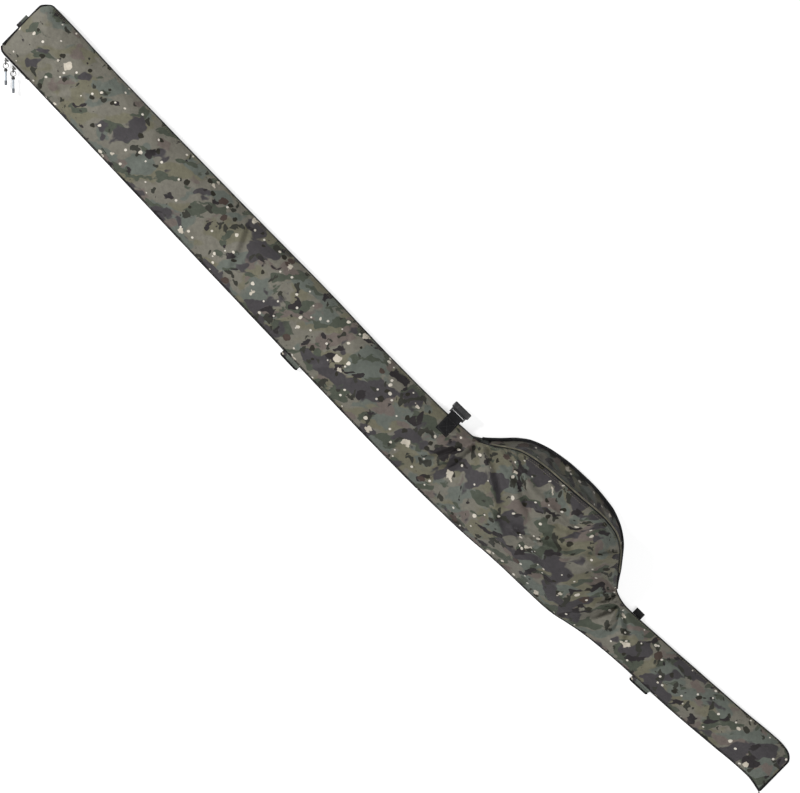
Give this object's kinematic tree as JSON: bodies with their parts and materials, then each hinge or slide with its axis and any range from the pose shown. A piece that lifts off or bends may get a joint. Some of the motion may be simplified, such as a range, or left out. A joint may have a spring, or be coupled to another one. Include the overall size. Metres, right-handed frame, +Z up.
{
  "type": "fishing rod case",
  "caption": "Long padded soft sleeve for a made-up fishing rod, with a bulging reel pouch, a zip round three sides and a fold along the fourth.",
  "frame": {"origin": "middle of the sleeve's outline, on the plane that its back panel rests on", "axes": "+X from the tip end to the butt end along the length, +Y towards the side that the reel pouch bulges to, +Z up out of the front face"},
  "size_m": [2.0023, 0.2384, 0.1135],
  "materials": {
    "camo_fabric": "woven polyester printed with a woodland camouflage in taupe, olive, dark green and charcoal with small cream spots, slight sheen",
    "foam": "closed-cell foam padding, matt",
    "lining": "dark brushed nylon lining",
    "black_binding": "black woven binding tape, matt",
    "zip_tape": "black herringbone zip tape",
    "zip_coil": "black nylon coil, satin",
    "black_webbing": "black polypropylene webbing, ribbed",
    "black_acetal": "moulded black acetal, satin",
    "nickel": "bright nickel plate",
    "pull_cord": "pale blue-grey sleeve over cord",
    "pull_end": "dark grey moulded end"
  },
  "bodies": {
    "back": {"back_shell": "camo_fabric", "back_padding": "foam", "back_lining": "lining", "tip_wear_patch": "black_webbing", "butt_wear_patch": "black_webbing", "pouch_gusset": "camo_fabric", "pouch_gusset_padding": "foam", "lower_zip_tape": "zip_tape", "lower_zip_coil": "zip_coil", "zip_stop_tip": "nickel", "zip_stop_butt": "nickel", "tip_binding": "black_binding", "butt_binding": "black_binding", "tip_loop": "camo_fabric", "butt_loop": "black_webbing", "tip_side_tab": "camo_fabric", "tip_side_tab_edge": "black_binding", "butt_side_tab": "camo_fabric", "butt_side_tab_edge": "black_binding"},
    "tip_cover": {"tip_cover_shell": "camo_fabric", "tip_cover_padding": "foam", "tip_cover_lining": "lining", "tip_cover_zip_tape": "zip_tape", "tip_cover_zip_coil": "zip_coil", "clip_patch": "black_webbing", "clip_webbing": "black_webbing"},
    "pouch_cover": {"pouch_cover_shell": "camo_fabric", "pouch_cover_padding": "foam", "pouch_cover_lining": "lining", "pouch_cover_zip_tape": "zip_tape", "pouch_cover_zip_coil": "zip_coil", "pouch_piping": "black_binding"},
    "clip": {"clip_buckle": "black_acetal"},
    "slider_1": {"slider_1": "nickel"},
    "slider_2": {"slider_2": "nickel"},
    "pull_1": {"pull_1_link": "nickel", "pull_1_ring": "nickel", "pull_1_bead": "black_acetal", "pull_1_stem": "pull_cord", "pull_1_end": "pull_end"},
    "pull_2": {"pull_2_link": "nickel", "pull_2_ring": "nickel", "pull_2_bead": "black_acetal", "pull_2_stem": "pull_cord", "pull_2_end": "pull_end"}
  },
  "joints": [
    {"name": "tip_cover_fold", "type": "hinge", "parent": "back", "child": "tip_cover", "pos_m": [-0.42475, -0.09822, 0.014], "axis": [0.9993, -0.0386, 0], "range_deg": [0, 110]},
    {"name": "pouch_cover_fold", "type": "hinge", "parent": "back", "child": "pouch_cover", "pos_m": [0.46775, -0.10776, 0.014], "axis": [0.9987, 0.0519, 0], "range_deg": [0, 110]},
    {"name": "clip_swing", "type": "hinge", "parent": "tip_cover", "child": "clip", "pos_m": [0.10125, 0.03224, 0.0208], "axis": [1, 0, 0], "range_deg": [0, 120]},
    {"name": "slider_1_travel", "type": "slide", "parent": "back", "child": "slider_1", "axis": [0.9992, -0.0389, 0], "range_m": [-0.012, 0]},
    {"name": "slider_2_travel", "type": "slide", "parent": "back", "child": "slider_2", "axis": [0.9992, -0.0389, 0], "range_m": [0, 0.018]},
    {"name": "pull_1_swing", "type": "hinge", "parent": "slider_1", "child": "pull_1", "pos_m": [-0.96725, -0.08439, 0.0104], "axis": [0, 0, 1], "range_deg": [-110, 0]},
    {"name": "pull_2_swing", "type": "hinge", "parent": "slider_2", "child": "pull_2", "pos_m": [-0.94675, -0.08516, 0.0104], "axis": [0, 0, 1], "range_deg": [0, 28]}
  ],
  "couplings": [
    {"joint": "tip_cover_fold", "follows": "pouch_cover_fold", "ratio": 1}
  ]
}
